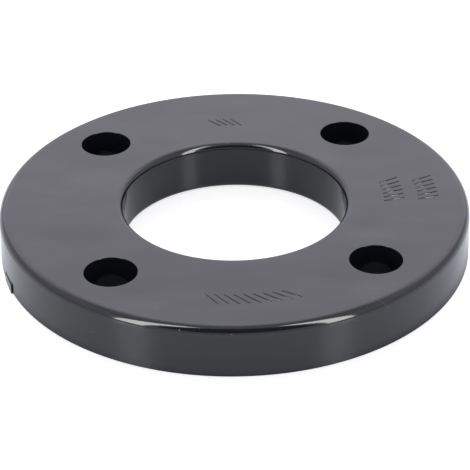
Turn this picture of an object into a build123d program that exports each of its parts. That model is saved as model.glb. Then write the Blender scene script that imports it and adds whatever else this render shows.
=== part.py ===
from build123d import *
from math import radians, tan
import os

# A loose backing ring for a lap joint, moulded in one piece from rigid PVC.
# It slips over the pipe and pulls the stub end's collar against the next flange.
# Origin: centre of the underside. +Z points to the face that takes the bolt heads.
# All lengths are in millimetres and all angles in degrees.

# Bore for the pipe
bore_diameter = 78.4
bore_lip_round = 2.25         # on both faces, so either one can bear on the collar

# Bolt holes
bolt_count = 4
bolt_circle = 125.0
bolt_hole_diameter = 18.0     # clears an M16 bolt
first_bolt_angle = 45.0
bolt_rim_bevel = 0.2          # the rims are nearly sharp

# Body of the ring
edge_land = 11.0              # from a bolt hole out to the wall at the foot; makes it 165 across
thickness = 18.0
wall_draft = 1.0              # the outer wall leans in towards the upper face
upper_rim_round = 3.0         # between the outer wall and the upper face
foot_bevel = 0.5              # breaks the edge at the mould's parting line

# Stub that was left where the moulding gate was trimmed off
gate_angle = 195.8
gate_width = 8.9
gate_height = 3.6
gate_proud = 0.35             # how far it stands out of the wall
gate_edge_round = 0.15

# Sizes that follow from the ones above
bore_radius = bore_diameter / 2
bolt_radius = bolt_hole_diameter / 2
outer_radius = bolt_circle / 2 + bolt_radius + edge_land
upper_radius = outer_radius - thickness * tan(radians(wall_draft))
gate_depth = gate_height + gate_proud


def ring_section():
    """Half section of the ring, with its lips, its rim and its foot edge."""
    with BuildSketch(Plane.XZ) as section:
        with BuildLine():
            Polyline(
                (bore_radius, 0),
                (outer_radius, 0),
                (upper_radius, thickness),
                (bore_radius, thickness),
                close=True,
            )
        make_face()
        bore_corners = section.vertices().group_by(Axis.X)[0]
        fillet(bore_corners, bore_lip_round)
        upper_corner = section.vertices().group_by(Axis.Y)[-1].sort_by(Axis.X)[-1]
        fillet(upper_corner, upper_rim_round)
        foot_corner = section.vertices().sort_by(Axis.X)[-1]
        chamfer(foot_corner, foot_bevel)
    return section.sketch


def drill_bolt_holes():
    """Clearance holes on the bolt circle, with bevelled rims on both faces."""
    with PolarLocations(bolt_circle / 2, bolt_count, start_angle=first_bolt_angle):
        Hole(bolt_radius)
    rims = edges(Select.LAST).filter_by(GeomType.CIRCLE)
    chamfer(rims, bolt_rim_bevel)


def gate_stub():
    """Flat-faced block that stands out of the wall at the foot of the ring."""
    with BuildPart() as stub:
        with Locations((outer_radius + gate_proud, 0, 0)):
            Box(gate_depth, gate_width, gate_height, align=(Align.MAX, Align.CENTER, Align.MIN))
        cut_face = stub.faces().sort_by(Axis.X)[-1]
        foot_edge = cut_face.edges().sort_by(Axis.Z)[0]
        fillet([edge for edge in cut_face.edges() if edge != foot_edge], gate_edge_round)
    return stub.part.rotate(Axis.Z, gate_angle)


with BuildPart() as ring:
    add(ring_section())
    revolve(axis=Axis.Z)
    drill_bolt_holes()
    add(gate_stub())

os.makedirs("parts", exist_ok=True)
export_step(ring.part, "parts/flange_ring.step")
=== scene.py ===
import math

import bpy
from mathutils import Matrix, Vector


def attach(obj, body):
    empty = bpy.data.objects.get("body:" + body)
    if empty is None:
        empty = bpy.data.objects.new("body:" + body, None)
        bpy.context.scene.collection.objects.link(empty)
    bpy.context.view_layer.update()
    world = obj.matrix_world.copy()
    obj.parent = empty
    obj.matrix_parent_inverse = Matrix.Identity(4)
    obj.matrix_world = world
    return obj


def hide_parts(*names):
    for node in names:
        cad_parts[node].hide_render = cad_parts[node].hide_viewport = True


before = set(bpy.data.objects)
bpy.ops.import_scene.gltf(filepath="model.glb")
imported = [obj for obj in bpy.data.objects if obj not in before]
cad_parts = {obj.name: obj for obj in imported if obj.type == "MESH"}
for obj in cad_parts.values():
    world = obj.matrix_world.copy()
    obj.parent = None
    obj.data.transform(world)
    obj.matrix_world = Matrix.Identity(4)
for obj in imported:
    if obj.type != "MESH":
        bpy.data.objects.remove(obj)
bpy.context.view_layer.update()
mm = 0.001

# One moulded ring with four bolt holes, on a white table under soft studio lamps.
# Everything is in metres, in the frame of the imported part: origin under the bore, +Z up.

camera = {
    "azimuth": -93.752,      # degrees from +X, so the bolt holes stand a little off the diagonals
    "elevation": 31.581,
    "distance": 708.982 * mm,
    "lens": 152.74,
    "pan": -0.008,
    "tilt": 0.21,
    "roll": 0.709,
}


def filledIn(tree, node, sockets):                     # links another socket, or writes a plain value
    for name, value in sockets.items():
        if isinstance(value, bpy.types.NodeSocket):
            tree.links.new(value, node.inputs[name])
        else:
            node.inputs[name].default_value = value
    return node


def addNode(tree, kind, sockets=None, **settings):
    node = tree.nodes.new(kind)
    for name, value in settings.items():
        setattr(node, name, value)
    return filledIn(tree, node, sockets or {})


def reckon(tree, operation, *values, clamp=False):     # a Math node
    node = addNode(tree, "ShaderNodeMath", dict(enumerate(values)), operation=operation)
    node.use_clamp = clamp
    return node.outputs[0]


def vectorOf(tree, x=0.0, y=0.0, z=0.0):
    return addNode(tree, "ShaderNodeCombineXYZ", {"X": x, "Y": y, "Z": z}).outputs[0]


def positionOf(tree):                                  # X, Y and Z of each point in a Geometry Nodes tree
    position = addNode(tree, "GeometryNodeInputPosition").outputs[0]
    return addNode(tree, "ShaderNodeSeparateXYZ", {0: position}).outputs


def newTree(name, kind, inputs, outputs):
    tree = bpy.data.node_groups.new(name, kind)
    for label, socketType, default in inputs:
        item = tree.interface.new_socket(label, in_out="INPUT", socket_type="NodeSocket" + socketType)
        if default is not None:
            item.default_value = default
    for label, socketType in outputs:
        tree.interface.new_socket(label, in_out="OUTPUT", socket_type="NodeSocket" + socketType)
    return tree, tree.nodes.new("NodeGroupInput").outputs, tree.nodes.new("NodeGroupOutput").inputs


def placed(tree, group, sockets):                      # a node group set into a tree
    node = tree.nodes.new("ShaderNodeGroup" if tree.type == "SHADER" else "GeometryNodeGroup")
    node.node_tree = group
    return filledIn(tree, node, sockets).outputs


def around(azimuth, elevation, distance):              # azimuth is counted from the camera's side
    turn = math.radians(camera["azimuth"] + azimuth)
    lift = math.radians(elevation)
    return Vector((
        distance * math.cos(lift) * math.cos(turn),
        distance * math.cos(lift) * math.sin(turn),
        distance * math.sin(lift),
    ))


def facing(place):                                     # turned from a place to the middle of the ring's foot
    return (Vector((0, 0, 0)) - place).to_track_quat("-Z", "Y").to_matrix()


ring = {
    "Bore Radius": 39.2 * mm,
    "Foot Radius": 82.5 * mm,
    "Top Radius": 82.186 * mm,      # the wall leans in by one degree
    "Thickness": 18 * mm,
    "Lip Round": 2.25 * mm,
    "Rim Round": 3.0 * mm,
    "Foot Round": 0.5 * mm,
    "Bolt Count": 4,
    "Bolt Circle": 62.5 * mm,
    "Bolt Radius": 9 * mm,
    "Bolt Rim": 0.15 * mm,
    "First Bolt": math.radians(45),
    "Gate Angle": math.radians(195.8),
    "Gate Width": 8.9 * mm,
    "Gate Height": 3.6 * mm,
    "Gate Proud": 0.24 * mm,
    "Gate Twist": math.radians(-2),  # the cut face stands out more at its front end
    "Gate Round": 0.15 * mm,
    "Gate Tear": 0.06 * mm,         # roughness of the cut face
    "Steps Around": 288,
    "Crease": math.radians(32),     # edges that bend more than this stay sharp
}

# Rows of plain slanted bars in the moulding: radius and turn of the row's middle, in the part's frame
barRows = [
    {"radius": 64.2, "turn": -88.8, "bars": 9, "pitch": 3.3, "length": 8.0, "slant": 42.0},
    {"radius": 57.0, "turn": 89.3, "bars": 4, "pitch": 2.7, "length": 7.0, "slant": 38.0},
    {"radius": 56.0, "turn": 1.6, "bars": 6, "pitch": 2.7, "length": 8.0, "slant": 18.0},
    {"radius": 68.0, "turn": 1.6, "bars": 6, "pitch": 2.7, "length": 8.0, "slant": 18.0},
]
bar = {"width": 1.1, "height": 0.28, "depth": 0.6}


def latheTree():
    tree, given, result = newTree(
        "lathe", "GeometryNodeTree",
        [("Profile", "Geometry", None), ("Steps", "Int", 96)], [("Mesh", "Geometry")])
    path = addNode(tree, "GeometryNodeCurvePrimitiveCircle", {"Resolution": given["Steps"], "Radius": 1.0})
    level = addNode(tree, "GeometryNodeSetCurveNormal", {"Curve": path.outputs[0]}, mode="Z_UP")
    shifted = addNode(tree, "GeometryNodeTransform", {
        "Geometry": given["Profile"], "Translation": (-1.0, 0.0, 0.0), "Scale": (1.0, -1.0, 1.0)})
    swept = addNode(tree, "GeometryNodeCurveToMesh", {
        "Curve": level.outputs[0], "Profile Curve": shifted.outputs[0]})
    joined = addNode(tree, "GeometryNodeMergeByDistance", {
        "Geometry": swept.outputs[0], "Distance": 0.001 * mm})
    tree.links.new(joined.outputs[0], result["Mesh"])
    return tree


def indexed(tree, dataType, values):                   # one value for each point of a short curve
    node = addNode(tree, "GeometryNodeIndexSwitch", data_type=dataType)
    while len(node.index_switch_items) < len(values):
        node.index_switch_items.new()
    tree.links.new(addNode(tree, "GeometryNodeInputIndex").outputs[0], node.inputs["Index"])
    return filledIn(tree, node, {number + 1: value for number, value in enumerate(values)}).outputs[0]


def rounded(tree, curve, radii, steps):
    return addNode(tree, "GeometryNodeFilletCurve", {
        "Curve": curve, "Count": steps, "Radius": indexed(tree, "FLOAT", radii)}, mode="POLY").outputs[0]


def boltCutterTree(lathe):
    tree, given, result = newTree(
        "boltCutter", "GeometryNodeTree",
        [("Radius", "Float", 0.009), ("Rim", "Float", 0.0008), ("Thickness", "Float", 0.018)],
        [("Mesh", "Geometry")])
    over = 0.01 * mm                                   # the flare passes the faces at a small angle
    reach = 2 * mm
    bottom, top = -over, reckon(tree, "ADD", given["Thickness"], over)
    below, above = -reach, reckon(tree, "ADD", given["Thickness"], reach)
    wide = reckon(tree, "ADD", given["Radius"], reckon(tree, "MULTIPLY", given["Rim"], 1.02))
    corners = [                                        # from the top down, so its faces point outwards
        vectorOf(tree, 0.0, above), vectorOf(tree, wide, above), vectorOf(tree, wide, top),
        vectorOf(tree, given["Radius"], top), vectorOf(tree, given["Radius"], bottom),
        vectorOf(tree, wide, bottom), vectorOf(tree, wide, below), vectorOf(tree, 0.0, below),
    ]
    line = addNode(tree, "GeometryNodeMeshLine", {"Count": len(corners)})
    bent = addNode(tree, "GeometryNodeSetPosition", {
        "Geometry": line.outputs[0], "Position": indexed(tree, "VECTOR", corners)})
    curve = addNode(tree, "GeometryNodeMeshToCurve", {"Mesh": bent.outputs[0]})
    rim = given["Rim"]
    soft = rounded(tree, curve.outputs[0], [0.0, 0.0, 0.0, rim, rim, 0.0, 0.0, 0.0], 7)
    turned = placed(tree, lathe, {"Profile": soft, "Steps": 96})
    tree.links.new(turned["Mesh"], result["Mesh"])
    return tree


def gateTree():
    tree, given, result = newTree(
        "gateStub", "GeometryNodeTree",
        [("Foot Radius", "Float", 0.0825), ("Angle", "Float", 0.0), ("Width", "Float", 0.009),
         ("Height", "Float", 0.0036), ("Proud", "Float", 0.0005), ("Twist", "Float", 0.0),
         ("Round", "Float", 0.0003), ("Tear", "Float", 0.0001)],
        [("Mesh", "Geometry")])
    depth = 4 * mm
    size = vectorOf(tree, depth, given["Width"], given["Height"])
    block = addNode(tree, "GeometryNodeMeshCube", {
        "Size": size, "Vertices X": 2, "Vertices Y": 56, "Vertices Z": 24})
    spot = positionOf(tree)
    across = reckon(tree, "SUBTRACT", reckon(tree, "MULTIPLY", given["Width"], 0.5),
                    reckon(tree, "ABSOLUTE", spot["Y"]))
    upward = reckon(tree, "SUBTRACT", reckon(tree, "MULTIPLY", given["Height"], 0.5), spot["Z"])
    margin = reckon(tree, "MINIMUM", across, upward)   # from the nearest of three edges of the cut face
    inside = reckon(tree, "SUBTRACT", 1.0, reckon(tree, "DIVIDE", margin, given["Round"]), clamp=True)
    curved = reckon(tree, "SQRT", reckon(tree, "SUBTRACT", 1.0, reckon(tree, "POWER", inside, 2.0)))
    drop = reckon(tree, "MULTIPLY", reckon(tree, "SUBTRACT", 1.0, curved), given["Round"])
    tear = addNode(tree, "ShaderNodeTexNoise", {"Scale": 1400.0, "Detail": 3.0}, noise_dimensions="3D")
    ragged = reckon(tree, "MULTIPLY", tear.outputs[0], given["Tear"])
    pushed = vectorOf(tree, reckon(tree, "MULTIPLY", reckon(tree, "ADD", drop, ragged), -1.0))
    faced = addNode(tree, "GeometryNodeSetPosition", {
        "Geometry": block.outputs[0], "Offset": pushed,
        "Selection": reckon(tree, "GREATER_THAN", spot["X"], 0.0)})
    out = reckon(tree, "ADD", given["Foot Radius"], reckon(tree, "SUBTRACT", given["Proud"], depth / 2))
    seated = addNode(tree, "GeometryNodeTransform", {
        "Geometry": faced.outputs[0],
        "Rotation": vectorOf(tree, 0.0, 0.0, given["Twist"]),
        "Translation": vectorOf(tree, out, 0.0, reckon(tree, "MULTIPLY", given["Height"], 0.5))})
    swung = addNode(tree, "GeometryNodeTransform", {
        "Geometry": seated.outputs[0], "Rotation": vectorOf(tree, 0.0, 0.0, given["Angle"])})
    tree.links.new(swung.outputs[0], result["Mesh"])
    return tree


def ringTree(lathe, boltCutter, gate):
    numbers = [
        (label, "Int" if isinstance(value, int) else "Float", value) for label, value in ring.items()]
    tree, given, result = newTree(
        "backingRing", "GeometryNodeTree",
        numbers + [("Bars", "Object", None), ("Material", "Material", None)], [("Mesh", "Geometry")])
    section = addNode(tree, "GeometryNodeCurvePrimitiveQuadrilateral", {
        "Point 1": vectorOf(tree, given["Bore Radius"], 0.0),
        "Point 2": vectorOf(tree, given["Foot Radius"], 0.0),
        "Point 3": vectorOf(tree, given["Top Radius"], given["Thickness"]),
        "Point 4": vectorOf(tree, given["Bore Radius"], given["Thickness"])}, mode="POINTS")
    soft = rounded(tree, section.outputs[0], [
        given["Lip Round"], given["Foot Round"], given["Rim Round"], given["Lip Round"]], 12)
    body = placed(tree, lathe, {"Profile": soft, "Steps": given["Steps Around"]})["Mesh"]

    cutter = placed(tree, boltCutter, {
        "Radius": given["Bolt Radius"], "Rim": given["Bolt Rim"], "Thickness": given["Thickness"]})["Mesh"]
    spots = addNode(tree, "GeometryNodeMeshCircle", {
        "Vertices": given["Bolt Count"], "Radius": given["Bolt Circle"]})
    cutters = addNode(tree, "GeometryNodeInstanceOnPoints", {
        "Points": spots.outputs[0], "Instance": cutter})
    turned = addNode(tree, "GeometryNodeTransform", {
        "Geometry": cutters.outputs[0], "Rotation": vectorOf(tree, 0.0, 0.0, given["First Bolt"])})
    real = addNode(tree, "GeometryNodeRealizeInstances", {0: turned.outputs[0]})
    drilled = addNode(tree, "GeometryNodeMeshBoolean", {
        "Mesh 1": body, "Mesh 2": real.outputs[0]}, operation="DIFFERENCE", solver="EXACT")

    stub = placed(tree, gate, {
        "Foot Radius": given["Foot Radius"], "Angle": given["Gate Angle"], "Width": given["Gate Width"],
        "Height": given["Gate Height"], "Proud": given["Gate Proud"], "Twist": given["Gate Twist"],
        "Round": given["Gate Round"], "Tear": given["Gate Tear"]})["Mesh"]
    bars = addNode(tree, "GeometryNodeObjectInfo", {"Object": given["Bars"]})
    whole = addNode(tree, "GeometryNodeMeshBoolean", operation="UNION", solver="EXACT")
    for part in (bars.outputs["Geometry"], stub, drilled.outputs[0]):
        tree.links.new(part, whole.inputs["Mesh 2"])
    clean = addNode(tree, "GeometryNodeMergeByDistance", {     # the cuts leave a few points twice
        "Geometry": whole.outputs[0], "Distance": 0.0005 * mm})

    bend = addNode(tree, "GeometryNodeInputMeshEdgeAngle").outputs["Unsigned Angle"]
    smooth = addNode(tree, "GeometryNodeSetShadeSmooth", {
        "Geometry": clean.outputs[0], "Shade Smooth": True})
    creased = addNode(tree, "GeometryNodeSetShadeSmooth", {
        "Geometry": smooth.outputs[0], "Shade Smooth": False,
        "Selection": reckon(tree, "GREATER_THAN", bend, given["Crease"])}, domain="EDGE")
    single = addNode(tree, "GeometryNodeRealizeInstances", {0: creased.outputs[0]})
    painted = addNode(tree, "GeometryNodeSetMaterial", {
        "Geometry": single.outputs[0], "Material": given["Material"]})
    tree.links.new(painted.outputs[0], result["Mesh"])
    return tree


def barTree():
    tree, given, result = newTree(
        "slantedBars", "GeometryNodeTree",
        [("Bars", "Int", 5), ("Pitch", "Float", 0.003), ("Length", "Float", 0.007),
         ("Width", "Float", 0.001), ("Height", "Float", 0.00025), ("Depth", "Float", 0.0006),
         ("Slant", "Float", 0.3), ("Radius", "Float", 0.06), ("Turn", "Float", 0.0),
         ("Level", "Float", 0.018), ("Material", "Material", None)],
        [("Mesh", "Geometry")])
    ball = addNode(tree, "GeometryNodeMeshUVSphere", {"Segments": 20, "Rings": 10, "Radius": 1.0})
    laid = addNode(tree, "GeometryNodeTransform", {
        "Geometry": ball.outputs[0], "Rotation": (0.0, math.pi / 2, 0.0)})
    spot = positionOf(tree)
    end = reckon(tree, "SIGN", reckon(tree, "ROUND", reckon(tree, "MULTIPLY", spot["X"], 50.0)))
    half = reckon(tree, "MULTIPLY", given["Width"], 0.5)
    straight = reckon(tree, "SUBTRACT", reckon(tree, "MULTIPLY", given["Length"], 0.5), half)
    capsule = addNode(tree, "GeometryNodeSetPosition", {
        "Geometry": laid.outputs[0],
        "Position": vectorOf(
            tree, reckon(tree, "MULTIPLY_ADD", spot["X"], half, reckon(tree, "MULTIPLY", end, straight)),
            reckon(tree, "MULTIPLY", spot["Y"], half),
            reckon(tree, "MULTIPLY", spot["Z"], given["Depth"]))})

    spots = addNode(tree, "GeometryNodeMeshLine", {"Count": given["Bars"], "Offset": (0, 0, 0)})
    middle = reckon(tree, "MULTIPLY", reckon(tree, "SUBTRACT", given["Bars"], 1.0), 0.5)
    order = reckon(tree, "SUBTRACT", addNode(tree, "GeometryNodeInputIndex").outputs[0], middle)
    swing = reckon(tree, "ADD", given["Turn"], reckon(
        tree, "DIVIDE", reckon(tree, "MULTIPLY", order, given["Pitch"]), given["Radius"]))
    level = reckon(tree, "ADD", given["Level"], reckon(tree, "SUBTRACT", given["Height"], given["Depth"]))
    onArc = vectorOf(
        tree, reckon(tree, "MULTIPLY", given["Radius"], reckon(tree, "COSINE", swing)),
        reckon(tree, "MULTIPLY", given["Radius"], reckon(tree, "SINE", swing)), level)
    row = addNode(tree, "GeometryNodeSetPosition", {"Geometry": spots.outputs[0], "Position": onArc})
    lean = vectorOf(tree, 0.0, 0.0, reckon(tree, "ADD", swing, given["Slant"]))
    toRotation = addNode(tree, "FunctionNodeEulerToRotation", {0: lean})
    bars = addNode(tree, "GeometryNodeInstanceOnPoints", {
        "Points": row.outputs[0], "Instance": capsule.outputs[0], "Rotation": toRotation.outputs[0]})
    real = addNode(tree, "GeometryNodeRealizeInstances", {0: bars.outputs[0]})
    painted = addNode(tree, "GeometryNodeSetMaterial", {
        "Geometry": real.outputs[0], "Material": given["Material"]})
    tree.links.new(painted.outputs[0], result["Mesh"])
    return tree


def grown(name, tree, values, weighted=False):         # runs a tree and keeps its plain mesh
    holder = bpy.data.objects.new(name + "Maker", bpy.data.meshes.new(name + "Maker"))
    bpy.context.scene.collection.objects.link(holder)
    modifier = holder.modifiers.new("shape", "NODES")
    modifier.node_group = tree
    for item in tree.interface.items_tree:
        if item.in_out == "INPUT" and item.name in values:
            modifier[item.identifier] = values[item.name]
    if weighted:                                       # keeps the flat faces flat in shading
        leveller = holder.modifiers.new("normals", "WEIGHTED_NORMAL")
        leveller.keep_sharp = True
        leveller.weight = 80
    graph = bpy.context.evaluated_depsgraph_get()
    mesh = bpy.data.meshes.new_from_object(holder.evaluated_get(graph), depsgraph=graph)
    bpy.data.objects.remove(holder)
    mesh.name = name
    piece = bpy.data.objects.new(name, mesh)
    bpy.context.scene.collection.objects.link(piece)
    return piece


pvc = {
    "colour": (0.0090, 0.0120, 0.0165, 1.0),
    "roughness": 0.08,
    "ior": 1.54,
    "hazeColour": (0.094, 0.088, 0.097, 1.0),     # flow marks under a film of dust, on the flat faces
    "haze": 0.52,
    "wallHaze": 0.12,                             # share of it on the walls
    "upperFade": (0.8 * mm, 0.05 * mm),           # below the upper face, where it begins and is full
    "lowerFade": (0.1 * mm, 0.6 * mm),            # above the foot, where it is full and ends
    "hazeDulls": 0.10,                            # how much rougher the haze makes the plastic
    "flowStretch": (42.0, 95.0, 60.0),            # per metre, so the marks are long along X
    "streakRange": (0.34, 0.70),
    "streakShare": 0.40,
    "streakBase": 0.24,
    "holeShade": 0.40,                            # the haze fades beside the bolt holes
    "dustColour": (0.20, 0.205, 0.21, 1.0),
    "dustSpacing": 4 * mm,
    "dustSize": 0.24 * mm,
    "dustShare": 0.25,
    "dustDensity": 0.35,
    "dustDulls": 0.5,
    "waves": 0.28,                                # sink waves, grain and scratches, in tenths of a millimetre
    "grain": 0.010,
    "scratchDepth": 0.1,
    "bump": 0.1 * mm,
}

# Specks that lie on the ring: place in the part's frame and radius in millimetres, and how dense they are
specks = [
    {"place": (-57.05, -27.65, 18.00), "radius": 0.36, "density": 0.75},
    {"place": (-22.36, -44.03, 18.00), "radius": 0.40, "density": 0.30},
    {"place": (-10.22, -46.35, 18.00), "radius": 0.50, "density": 0.16},
    {"place": (30.97, 32.15, 18.00), "radius": 0.50, "density": 0.45},
    {"place": (-71.96, -21.14, 18.00), "radius": 0.36, "density": 0.22},
    {"place": (56.03, -9.14, 18.00), "radius": 0.45, "density": 0.28},
    {"place": (5.24, -52.03, 18.00), "radius": 0.45, "density": 0.20},
    {"place": (-58.41, -53.08, 18.00), "radius": 0.50, "density": 0.32},
    {"place": (64.14, -51.72, 6.16), "radius": 0.36, "density": 1.0},
    {"place": (-6.77, -81.67, 16.17), "radius": 0.36, "density": 0.75},
    {"place": (-22.88, 31.83, 15.06), "radius": 0.38, "density": 0.55},
    {"place": (0.78, 40.57, 17.82), "radius": 0.50, "density": 0.28},
    {"place": (-51.52, -64.26, 7.85), "radius": 0.34, "density": 0.45},
    {"place": (-50.68, -64.91, 8.43), "radius": 0.30, "density": 0.35},
    {"place": (-53.82, -62.37, 6.86), "radius": 0.45, "density": 0.14},
    {"place": (-48.10, -66.76, 12.41), "radius": 0.45, "density": 0.16},
    {"place": (-49.23, -66.09, 5.19), "radius": 0.40, "density": 0.22},
    {"place": (-23.12, -78.40, 16.61), "radius": 0.36, "density": 0.80},
    {"place": (-29.90, -67.20, 18.00), "radius": 1.50, "density": 0.08},
]
# Small pits in the wall
pits = [{"place": (-37.14, -73.49, 8.94), "radius": 0.55, "depth": 0.5}]
# Soft lighter and darker places in the haze round the bolt holes, in millimetres
clouds = [
    {"place": (-46, 31), "reach": (20, 11), "strength": -0.81},
    {"place": (-47, 18), "reach": (20, 12), "strength": 0.68},
    {"place": (-57, -18), "reach": (17, 9), "strength": -0.68},
    {"place": (-35, -54), "reach": (14, 9), "strength": -0.68},
    {"place": (-36, -66), "reach": (16, 9), "strength": 0.47},
    {"place": (31, -52), "reach": (13, 10), "strength": -0.54},
    {"place": (44, -29), "reach": (18, 9), "strength": 0.61},
    {"place": (42, -64), "reach": (16, 9), "strength": 0.47},
    {"place": (-43, -29), "reach": (14, 8), "strength": 0.41},
    {"place": (50, 31), "reach": (16, 8), "strength": -0.68},
    {"place": (63, 43), "reach": (14, 16), "strength": -0.61},
    {"place": (31, 42), "reach": (9, 20), "strength": 0.34},
    {"place": (-34, 50), "reach": (9, 18), "strength": 0.34},
    {"place": (-34, 70), "reach": (28, 13), "strength": -0.68},
    {"place": (2, 66), "reach": (34, 5), "strength": -0.47},
    {"place": (-46, -22), "reach": (18, 11), "strength": -0.45},
    {"place": (44, -19), "reach": (12, 8), "strength": -0.50},
    {"place": (36, 26), "reach": (10, 13), "strength": 0.50},
    {"place": (-32, 64), "reach": (16, 9), "strength": -0.45},
    {"place": (-6, -51), "reach": (36, 13), "strength": -0.47},
    {"place": (60, -50), "reach": (20, 18), "strength": 0.34},
    {"place": (-60, 50), "reach": (14, 16), "strength": -0.47},
]
# Fine scratches: ends, and the direction across them
scratches = [
    {"start": (38.84, -65.87, 18.0), "end": (46.38, -67.96, 12.54), "across": (0.573, 0.597, 0.563),
     "width": 0.16, "density": 0.30},
    {"start": (-66.0, 6.0, 18.0), "end": (-57.0, 16.5, 18.0), "across": (0.759, -0.651, 0.0),
     "width": 0.10, "density": 0.12},
    {"start": (20.0, -52.0, 18.0), "end": (31.0, -57.0, 18.0), "across": (0.414, 0.910, 0.0),
     "width": 0.10, "density": 0.12},
]


def vectorMath(tree, operation, first, second=None, output=0):
    sockets = {0: first} if second is None else {0: first, 1: second}
    return addNode(tree, "ShaderNodeVectorMath", sockets, operation=operation).outputs[output]


def blended(tree, factor, first, second):              # a Mix node, whose colours are sockets 6 and 7
    return addNode(tree, "ShaderNodeMix", {0: factor, 6: first, 7: second}, data_type="RGBA").outputs[2]


def ramped(tree, value, low, high):                    # 0 at low and 1 at high, with a soft start and end
    node = addNode(tree, "ShaderNodeMapRange", {
        "Value": value, "From Min": low, "From Max": high}, interpolation_type="SMOOTHSTEP")
    return node.outputs[0]


def flowMarks():                                       # streaks left as the plastic filled the mould
    tree, given, result = newTree("flowMarks", "ShaderNodeTree", [
        ("Place", "Vector", None), ("Stretch", "Vector", (34, 120, 60)), ("Low", "Float", 0.3),
        ("High", "Float", 0.7), ("Share", "Float", 0.4), ("Base", "Float", 0.2), ("Clouds", "Float", 0.0),
        ("Hole Spot", "Float", 0.0442), ("Hole Radius", "Float", 0.009), ("Hole Shade", "Float", 0.7)],
        [("Mask", "Float")])
    spread = vectorMath(tree, "MULTIPLY", given["Place"], given["Stretch"])
    broad = addNode(tree, "ShaderNodeTexNoise", {
        "Vector": spread, "Scale": 1.0, "Detail": 4.0, "Roughness": 0.55, "Distortion": 0.4}).outputs[0]
    streaks = reckon(tree, "MULTIPLY_ADD", ramped(tree, broad, given["Low"], given["High"]),
                     given["Share"], given["Base"])
    cloud = reckon(tree, "ADD", streaks, given["Clouds"], clamp=True)
    spot = addNode(tree, "ShaderNodeSeparateXYZ", {0: vectorMath(tree, "ABSOLUTE", given["Place"])}).outputs
    offX = reckon(tree, "SUBTRACT", spot["X"], given["Hole Spot"])
    offY = reckon(tree, "SUBTRACT", spot["Y"], given["Hole Spot"])
    far = reckon(tree, "SQRT", reckon(tree, "ADD", reckon(tree, "MULTIPLY", offX, reckon(
        tree, "MULTIPLY", offX, 0.35)), reckon(tree, "POWER", offY, 2.0)))   # longer along X than along Y
    beside = reckon(tree, "SUBTRACT", 1.0, ramped(tree, far, given["Hole Radius"], reckon(
        tree, "MULTIPLY", given["Hole Radius"], 2.0)))
    kept = reckon(tree, "SUBTRACT", 1.0, reckon(tree, "MULTIPLY", beside, given["Hole Shade"]))
    tree.links.new(reckon(tree, "MULTIPLY", cloud, kept), result["Mask"])
    return tree


def softCloud():
    tree, given, result = newTree("softCloud", "ShaderNodeTree", [
        ("Place", "Vector", None), ("Spot", "Vector", (0, 0, 0)), ("Reach", "Vector", (0.01, 0.01, 0.03)),
        ("Strength", "Float", 0.3)], [("Mask", "Float")])
    off = vectorMath(tree, "SUBTRACT", given["Place"], given["Spot"])
    far = vectorMath(tree, "LENGTH", vectorMath(tree, "DIVIDE", off, given["Reach"]), output="Value")
    fall = reckon(tree, "SUBTRACT", 1.0, ramped(tree, far, 0.0, 1.0))
    tree.links.new(reckon(tree, "MULTIPLY", fall, given["Strength"]), result["Mask"])
    return tree


def looseDust():
    tree, given, result = newTree("looseDust", "ShaderNodeTree", [
        ("Place", "Vector", None), ("Spacing", "Float", 0.004), ("Size", "Float", 0.0002),
        ("Share", "Float", 0.3)], [("Mask", "Float")])
    spread = vectorMath(tree, "DIVIDE", given["Place"], vectorOf(
        tree, given["Spacing"], given["Spacing"], given["Spacing"]))
    cells = addNode(tree, "ShaderNodeTexVoronoi", {"Vector": spread, "Scale": 1.0, "Randomness": 1.0})
    reach = reckon(tree, "DIVIDE", given["Size"], given["Spacing"])
    grain = reckon(tree, "SUBTRACT", 1.0, ramped(tree, cells.outputs["Distance"], reckon(
        tree, "MULTIPLY", reach, 0.4), reach))
    lot = addNode(tree, "ShaderNodeSeparateXYZ", {0: cells.outputs["Color"]}).outputs["X"]
    chosen = reckon(tree, "LESS_THAN", lot, given["Share"])
    tree.links.new(reckon(tree, "MULTIPLY", grain, chosen), result["Mask"])
    return tree


def speck():
    tree, given, result = newTree("speck", "ShaderNodeTree", [
        ("Place", "Vector", None), ("Spot", "Vector", (0, 0, 0)), ("Radius", "Float", 0.0003),
        ("Density", "Float", 0.5)], [("Mask", "Float")])
    far = vectorMath(tree, "DISTANCE", given["Place"], given["Spot"], output="Value")
    share = reckon(tree, "DIVIDE", far, given["Radius"])
    disc = reckon(tree, "SUBTRACT", 1.0, ramped(tree, share, 0.35, 1.0))
    tree.links.new(reckon(tree, "MULTIPLY", disc, given["Density"]), result["Mask"])
    return tree


def hairScratch():
    tree, given, result = newTree("hairScratch", "ShaderNodeTree", [
        ("Place", "Vector", None), ("Start", "Vector", (0, 0, 0)), ("End", "Vector", (0, 0, 0)),
        ("Across", "Vector", (1, 0, 0)), ("Width", "Float", 0.0001), ("Density", "Float", 0.3)],
        [("Mask", "Float")])
    run = vectorMath(tree, "SUBTRACT", given["End"], given["Start"])
    here = vectorMath(tree, "SUBTRACT", given["Place"], given["Start"])
    along = reckon(tree, "DIVIDE", vectorMath(tree, "DOT_PRODUCT", here, run, output="Value"),
                   vectorMath(tree, "DOT_PRODUCT", run, run, output="Value"))
    ends = reckon(tree, "MULTIPLY", ramped(tree, along, 0.0, 0.25), reckon(
        tree, "SUBTRACT", 1.0, ramped(tree, along, 0.6, 1.0)))
    off = reckon(tree, "ABSOLUTE", vectorMath(tree, "DOT_PRODUCT", here, given["Across"], output="Value"))
    share = reckon(tree, "DIVIDE", off, given["Width"])
    line = reckon(tree, "SUBTRACT", 1.0, ramped(tree, share, 0.3, 1.0))
    whole = reckon(tree, "MULTIPLY", reckon(tree, "MULTIPLY", ends, line), given["Density"])
    tree.links.new(whole, result["Mask"])
    return tree


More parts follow.
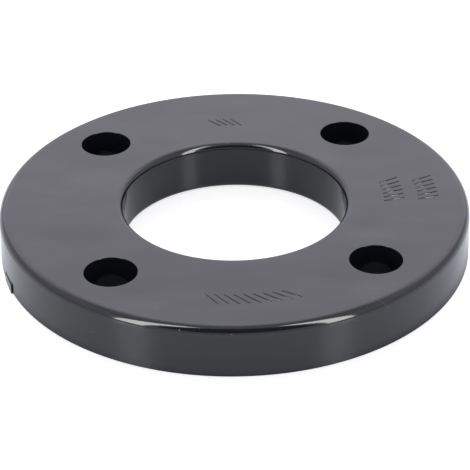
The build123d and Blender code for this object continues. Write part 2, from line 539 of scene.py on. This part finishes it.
def mouldSurface():                                    # slow waves and a fine grain, as a height
    tree, given, result = newTree("mouldSurface", "ShaderNodeTree", [
        ("Place", "Vector", None), ("Waves", "Float", 0.2), ("Grain", "Float", 0.01)],
        [("Height", "Float")])
    spread = vectorMath(tree, "MULTIPLY", given["Place"], (55.0, 110.0, 80.0))
    slow = addNode(tree, "ShaderNodeTexNoise", {
        "Vector": spread, "Scale": 1.0, "Detail": 2.0}).outputs[0]
    fine = addNode(tree, "ShaderNodeTexNoise", {
        "Vector": given["Place"], "Scale": 1500.0, "Detail": 2.0}).outputs[0]
    height = reckon(tree, "ADD", reckon(tree, "MULTIPLY", slow, given["Waves"]),
                    reckon(tree, "MULTIPLY", fine, given["Grain"]))
    tree.links.new(height, result["Height"])
    return tree


def mouldedPvc():
    material = bpy.data.materials.new("mouldedPvc")
    material.use_nodes = True
    tree = material.node_tree
    shader = tree.nodes["Principled BSDF"]
    shader.inputs["IOR"].default_value = pvc["ior"]
    place = addNode(tree, "ShaderNodeTexCoord").outputs["Object"]

    level = addNode(tree, "ShaderNodeSeparateXYZ", {0: place}).outputs["Z"]
    upper = ramped(tree, level, *(ring["Thickness"] - depth for depth in pvc["upperFade"]))
    lower = reckon(tree, "SUBTRACT", 1.0, ramped(tree, level, *pvc["lowerFade"]))
    flat = reckon(tree, "MULTIPLY_ADD", reckon(tree, "MAXIMUM", upper, lower),
                  1.0 - pvc["wallHaze"], pvc["wallHaze"])
    cloud = softCloud()
    shades = 0.0
    for each in clouds:
        mask = placed(tree, cloud, {
            "Place": place, "Spot": Vector((*each["place"], 18.0)) * mm,
            "Reach": Vector((*each["reach"], 24.0)) * mm, "Strength": each["strength"]})["Mask"]
        shades = reckon(tree, "ADD", shades, mask)
    streakLow, streakHigh = pvc["streakRange"]
    marks = placed(tree, flowMarks(), {
        "Place": place, "Stretch": pvc["flowStretch"], "Clouds": shades, "Low": streakLow,
        "High": streakHigh, "Share": pvc["streakShare"], "Base": pvc["streakBase"],
        "Hole Spot": ring["Bolt Circle"] * math.sqrt(0.5), "Hole Radius": ring["Bolt Radius"],
        "Hole Shade": pvc["holeShade"]})["Mask"]
    haze = reckon(tree, "MULTIPLY", reckon(tree, "MULTIPLY", marks, flat), pvc["haze"])

    dust = reckon(tree, "MULTIPLY", placed(tree, looseDust(), {
        "Place": place, "Spacing": pvc["dustSpacing"], "Size": pvc["dustSize"],
        "Share": pvc["dustShare"]})["Mask"], pvc["dustDensity"])
    dot = speck()
    for each in specks:
        mask = placed(tree, dot, {
            "Place": place, "Spot": Vector(each["place"]) * mm, "Radius": each["radius"] * mm,
            "Density": each["density"]})["Mask"]
        dust = reckon(tree, "MAXIMUM", dust, mask)
    lines = 0.0
    scratch = hairScratch()
    for each in scratches:
        mask = placed(tree, scratch, {
            "Place": place, "Start": Vector(each["start"]) * mm, "End": Vector(each["end"]) * mm,
            "Across": each["across"], "Width": each["width"] * mm, "Density": each["density"]})["Mask"]
        lines = reckon(tree, "MAXIMUM", lines, mask)

    bright = reckon(tree, "MAXIMUM", dust, lines)
    clouded = blended(tree, haze, pvc["colour"], pvc["hazeColour"])
    tree.links.new(blended(tree, bright, clouded, pvc["dustColour"]), shader.inputs["Base Color"])
    dulled = reckon(tree, "MULTIPLY_ADD", haze, pvc["hazeDulls"], pvc["roughness"])
    tree.links.new(reckon(tree, "MULTIPLY_ADD", bright, pvc["dustDulls"], dulled), shader.inputs["Roughness"])
    height = placed(tree, mouldSurface(), {
        "Place": place, "Waves": pvc["waves"], "Grain": pvc["grain"]})["Height"]
    cut = reckon(tree, "MULTIPLY_ADD", lines, -pvc["scratchDepth"], height)
    for each in pits:
        mask = placed(tree, dot, {
            "Place": place, "Spot": Vector(each["place"]) * mm, "Radius": each["radius"] * mm,
            "Density": each["depth"]})["Mask"]
        cut = reckon(tree, "SUBTRACT", cut, mask)
    bump = addNode(tree, "ShaderNodeBump", {"Height": cut, "Distance": pvc["bump"], "Strength": 1.0})
    tree.links.new(bump.outputs[0], shader.inputs["Normal"])
    return material


moulded = mouldedPvc()
print("finish:", len(moulded.node_tree.nodes), "nodes")

lathe = latheTree()
rowTree = barTree()
rowValues = {"Width": bar["width"] * mm, "Height": bar["height"] * mm, "Depth": bar["depth"] * mm,
             "Level": ring["Thickness"], "Material": moulded}
rows = []
for number, row in enumerate(barRows):
    rows.append(grown("barRow%d" % number, rowTree, dict(
        rowValues, Bars=row["bars"], Pitch=row["pitch"] * mm, Length=row["length"] * mm,
        Radius=row["radius"] * mm, Turn=math.radians(row["turn"]), Slant=math.radians(row["slant"]))))
with bpy.context.temp_override(active_object=rows[0], selected_editable_objects=rows):
    bpy.ops.object.join()
bars = rows[0]
print("bars:", sum(row["bars"] for row in barRows), "in", len(barRows), "rows")

ringPiece = grown("backing_ring", ringTree(lathe, boltCutterTree(lathe), gateTree()),
                  dict(ring, Bars=bars, Material=moulded), weighted=True)
bpy.data.objects.remove(bars)
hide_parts("flange_ring")
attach(ringPiece, "root")
print("ring:", len(ringPiece.data.vertices), "points", len(ringPiece.data.polygons), "faces")


studio = {
    "tableSize": 14.0,
    "tableColour": (0.8, 0.8, 0.8, 1.0),
    "tableSheen": 0.27,            # roughness of the glossy white table
    "tableMirror": 0.42,           # specular level of the table's coat
    "glowSeen": 0.74,              # what the camera sees on top of the lit table
    "glowAround": 0.60,            # and what the ring reflects, outside it
    "shadedGlowInBore": 0.33,            # and inside the bore, dimmer there as painted shade
    "glowUnderLip": 0.85,          # up to this share of the lip's round
    "glowTint": (0.90, 0.965, 1.03, 1.0),
    "paintedContactShade": 0.55,          # painted shadow: how much darker the table's glow is at the foot of the ring
    "paintedContactRight": 0.40,          # and how much more of this painted shadow on the right
    "contactReach": 5 * mm,
    "skyTint": (0.975, 0.96, 1.055, 1.0),
    "skyFill": 0.6,                # how brightly the room lights the ring
    "skyLow": 0.88,                # and what the ring mirrors: the walls, the middle and the ceiling
    "skyHigh": 1.08,
    "skyTop": 0.78,
    "skyRise": (0.36, 0.64),       # from the walls to the middle, as the sine of the elevation
    "skyClose": (0.66, 0.88),      # and from the middle to the ceiling
}

# Lamps: azimuth from the camera's side, elevation and distance of the middle, the elevation that it
# faces, a lean to the left, width, height and radiance
lamps = [
    {"name": "backLamp", "azimuth": 180, "elevation": 40, "distance": 2.2, "facing": 40, "lean": 0,
     "width": 3.6, "height": 2.0, "level": 0.62, "tint": (0.98, 0.955, 1.06), "diffuse": True},
    {"name": "rightStrip", "azimuth": 53.6, "elevation": 60.4, "distance": 2.4, "facing": 10, "lean": -6,
     "width": 0.34, "height": 3.65, "level": 9.4, "tint": (1.0, 0.99, 0.97), "diffuse": False},
    {"name": "leftStrip", "azimuth": -51.2, "elevation": 60.4, "distance": 2.4, "facing": 10, "lean": 3,
     "width": 0.36, "height": 3.65, "level": 9.4, "tint": (1.0, 0.99, 0.97), "diffuse": False},
]
# A dark card over the camera: where its middle is, and its corners by azimuth and elevation
flag = {
    "azimuth": 0, "elevation": 46, "distance": 0.66,
    "corners": [(-36, 25), (-18, 24), (0, 24), (18, 24), (37, 25), (38, 50), (36, 63), (25, 73),
                (-25, 73), (-35, 63), (-37, 50)],
}


def tableWhite():
    material = bpy.data.materials.new("tableWhite")
    material.use_nodes = True
    tree = material.node_tree
    shader = tree.nodes["Principled BSDF"]
    shader.inputs["Base Color"].default_value = studio["tableColour"]
    shader.inputs["Roughness"].default_value = studio["tableSheen"]
    shader.inputs["Specular IOR Level"].default_value = studio["tableMirror"]
    place = addNode(tree, "ShaderNodeTexCoord").outputs["Object"]
    spot = vectorMath(tree, "LENGTH", place, output="Value")
    outside = reckon(tree, "GREATER_THAN", spot, ring["Foot Radius"])
    # painted contact shadow: the glow that the ring mirrors darkens near its foot, more on the right
    away = reckon(tree, "DIVIDE", reckon(tree, "SUBTRACT", spot, ring["Foot Radius"]),
                  studio["contactReach"], clamp=True)
    near = reckon(tree, "POWER", reckon(tree, "SUBTRACT", 1.0, away), 2.0)
    right = reckon(tree, "DIVIDE", addNode(tree, "ShaderNodeSeparateXYZ", {0: place}).outputs["X"], spot,
                   clamp=True)
    shade = reckon(tree, "MULTIPLY_ADD", right, studio["paintedContactRight"], studio["paintedContactShade"])
    beside = reckon(tree, "MULTIPLY", reckon(tree, "MULTIPLY", outside, studio["glowAround"]), reckon(
        tree, "SUBTRACT", 1.0, reckon(tree, "MULTIPLY", near, shade)))
    lipEdge = ring["Bore Radius"] + studio["glowUnderLip"] * ring["Lip Round"]
    inBore = reckon(tree, "LESS_THAN", spot, lipEdge)  # and no glow where the ring rests
    # painted shade: inside the bore the table glows less in the ring's reflections than outside it
    mirrored = reckon(tree, "ADD", beside, reckon(tree, "MULTIPLY", inBore, studio["shadedGlowInBore"]))
    path = addNode(tree, "ShaderNodeLightPath").outputs
    clear = reckon(tree, "MAXIMUM", path["Is Camera Ray"], path["Is Transmission Ray"])
    glow = reckon(tree, "ADD", reckon(tree, "MULTIPLY", clear, studio["glowSeen"]),
                  reckon(tree, "MULTIPLY", path["Is Glossy Ray"], mirrored))
    tree.links.new(glow, shader.inputs["Emission Strength"])
    tint = blended(tree, path["Is Glossy Ray"], (1, 1, 1, 1), studio["glowTint"])
    tree.links.new(tint, shader.inputs["Emission Color"])
    return material


def plainSheet(name, corners, material):
    mesh = bpy.data.meshes.new(name)
    mesh.from_pydata([(x, y, 0) for x, y in corners], [], [range(len(corners))])
    mesh.materials.append(material)
    sheet = bpy.data.objects.new(name, mesh)
    bpy.context.scene.collection.objects.link(sheet)
    return sheet


half = studio["tableSize"] / 2
table = plainSheet("table", [(-half, -half), (half, -half), (half, half), (-half, half)], tableWhite())

dark = bpy.data.materials.new("flagCloth")
dark.use_nodes = True
dark.node_tree.nodes["Principled BSDF"].inputs["Base Color"].default_value = (0.2, 0.2, 0.2, 1)
dark.node_tree.nodes["Principled BSDF"].inputs["Roughness"].default_value = 0.9
spot = around(flag["azimuth"], flag["elevation"], flag["distance"])
turn = facing(spot)
outline = []
for azimuth, elevation in flag["corners"]:             # as the ring sees them, spread on the card's plane
    ray = turn.transposed() @ around(azimuth, elevation, 1.0)
    outline.append((ray.x * flag["distance"] / ray.z, ray.y * flag["distance"] / ray.z))
card = plainSheet("darkFlag", outline, dark)
card.matrix_world = Matrix.Translation(spot) @ turn.to_4x4()
card.visible_camera = False
card.visible_shadow = False

for each in lamps:
    light = bpy.data.lights.new(each["name"], "AREA")
    light.shape = "RECTANGLE"
    light.size, light.size_y = each["width"], each["height"]
    light.energy = each["level"] * math.pi * each["width"] * each["height"]
    light.color = each["tint"]
    lamp = bpy.data.objects.new(each["name"], light)
    spot = around(each["azimuth"], each["elevation"], each["distance"])
    turn = facing(around(each["azimuth"], each["facing"], 1.0))
    turn = turn @ Matrix.Rotation(math.radians(each["lean"]), 3, "Z")
    lamp.matrix_world = Matrix.Translation(spot) @ turn.to_4x4()
    lamp.visible_camera = False
    lamp.visible_diffuse = each["diffuse"]
    bpy.context.scene.collection.objects.link(lamp)

world = bpy.data.worlds.new("studio")
world.use_nodes = True
bpy.context.scene.world = world
sky = world.node_tree
path = addNode(sky, "ShaderNodeLightPath").outputs
upward = addNode(sky, "ShaderNodeSeparateXYZ", {0: addNode(sky, "ShaderNodeTexCoord").outputs["Generated"]})
lifted = ramped(sky, upward.outputs["Z"], *studio["skyRise"])
ceiling = ramped(sky, upward.outputs["Z"], *studio["skyClose"])
sides = reckon(sky, "MULTIPLY_ADD", lifted, studio["skyHigh"] - studio["skyLow"], studio["skyLow"])
mirrored = reckon(sky, "MULTIPLY", path["Is Glossy Ray"], reckon(
    sky, "MULTIPLY_ADD", ceiling, studio["skyTop"] - studio["skyHigh"], sides))
clear = reckon(sky, "MAXIMUM", path["Is Camera Ray"], path["Is Transmission Ray"])
level = reckon(sky, "MAXIMUM", studio["skyFill"], reckon(sky, "MAXIMUM", clear, mirrored))
sky.links.new(level, sky.nodes["Background"].inputs["Strength"])
sky.nodes["Background"].inputs["Color"].default_value = studio["skyTint"]
print("studio:", len(lamps), "lamps, a table, a card and the room")

eye = bpy.data.objects.new("camera", bpy.data.cameras.new("camera"))
eye.data.lens = camera["lens"]
eye.data.sensor_width = 36
place = around(0, camera["elevation"], camera["distance"])
aim = facing(place)
aim = aim @ Matrix.Rotation(math.radians(camera["pan"]), 3, "Y")
aim = aim @ Matrix.Rotation(math.radians(camera["tilt"]), 3, "X")
aim = aim @ Matrix.Rotation(math.radians(-camera["roll"]), 3, "Z")
eye.matrix_world = Matrix.Translation(place) @ aim.to_4x4()
bpy.context.scene.collection.objects.link(eye)
bpy.context.scene.camera = eye
bpy.context.scene.view_settings.view_transform = "Standard"
